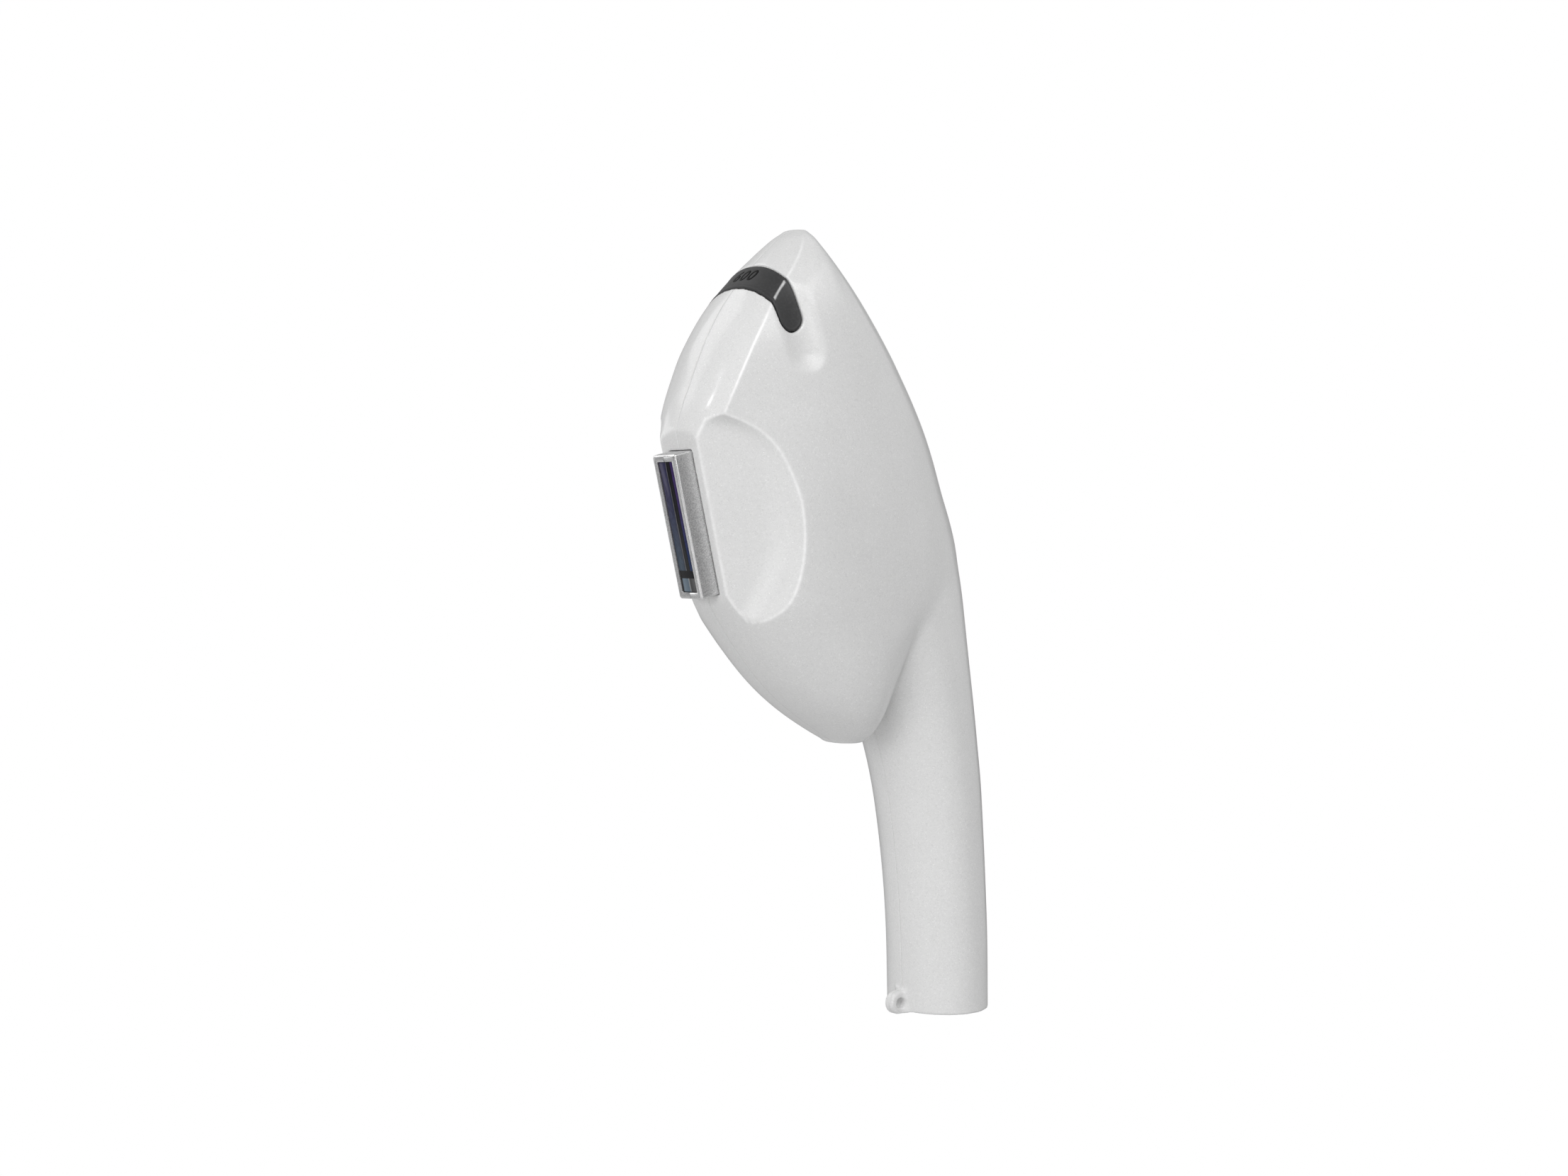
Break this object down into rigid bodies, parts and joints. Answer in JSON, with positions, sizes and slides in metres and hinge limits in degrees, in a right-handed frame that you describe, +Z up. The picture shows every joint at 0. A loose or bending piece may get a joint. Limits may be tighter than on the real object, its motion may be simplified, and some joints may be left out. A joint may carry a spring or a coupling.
{
  "type": "ipl hair remover handpiece",
  "caption": "Teardrop head on a straight tubular handle, with a metal-framed light window on the nose, a slide-out filter band over the crown and a lanyard eyelet.",
  "frame": {"origin": "centre of the open lower end of the handle, at the mouth of the umbilical seat", "axes": "+Z up along the handle, -X towards the light window, +Y to the user's left when the window faces away; X-Z is the parting plane of the shells"},
  "size_m": [0.1233, 0.052, 0.2457],
  "materials": {
    "shell_white": "pearl gloss",
    "filter_grey": "satin",
    "filter_plate": "anodised",
    "filter_glass": "polished",
    "magnet": "plated",
    "guide_black": "moulded",
    "frame_metal": "polished edge",
    "sapphire": "polished",
    "silicone": "soft",
    "cold_block": "machined",
    "tec_ceramic": "matt",
    "heat_plate": "machined",
    "housing_resin": "machined",
    "reflector_silver": "mirror",
    "quartz": "polished",
    "electrode": "plain",
    "cap_resin": "machined",
    "oring": "soft",
    "fitting_brass": "turned",
    "hose_blue": "smooth",
    "hose_red": "smooth",
    "link_clear": "smooth",
    "hv_red": "smooth",
    "hv_white": "smooth",
    "signal_grey": "smooth",
    "grommet_black": "moulded",
    "button_grey": "satin",
    "switch_black": "moulded",
    "board_green": "lacquered",
    "chassis_steel": "brushed",
    "screw_steel": "plain"
  },
  "bodies": {
    "handpiece": {"right_shell": "shell_white", "left_shell": "shell_white", "housing_screws": "screw_steel", "filter_guide": "guide_black", "filter_magnets": "magnet", "contact_frame": "frame_metal", "light_guide": "sapphire", "guide_seal": "silicone", "cooling_block": "cold_block", "tec_modules": "tec_ceramic", "tec_heat_plates": "heat_plate", "lamp_housing": "housing_resin", "chassis": "chassis_steel", "chassis_screws": "screw_steel", "reflector": "reflector_silver", "flow_tube": "quartz", "flash_lamp": "quartz", "lamp_electrodes": "electrode", "lamp_end_caps": "cap_resin", "lamp_orings": "oring", "coolant_links": "link_clear", "water_fittings": "fitting_brass", "inlet_hose": "hose_blue", "outlet_hose": "hose_red", "hv_cable": "hv_red", "hv_return_lead": "hv_white", "signal_cable": "signal_grey", "cable_grommet": "grommet_black", "control_board": "board_green", "trigger_switch": "switch_black"},
    "filter_cartridge": {"filter_cap": "filter_grey", "filter_carrier": "filter_plate", "filter_glass": "filter_glass"},
    "fire_button": {"trigger_button": "button_grey"}
  },
  "joints": [
    {"name": "filter_slide", "type": "slide", "parent": "handpiece", "child": "filter_cartridge", "axis": [-0.23, 0, 0.9732], "range_m": [0, 0.098]},
    {"name": "trigger_press", "type": "slide", "parent": "handpiece", "child": "fire_button", "axis": [-1, 0, 0], "range_m": [0, 0.0012], "stiffness_N_per_m": 150}
  ]
}
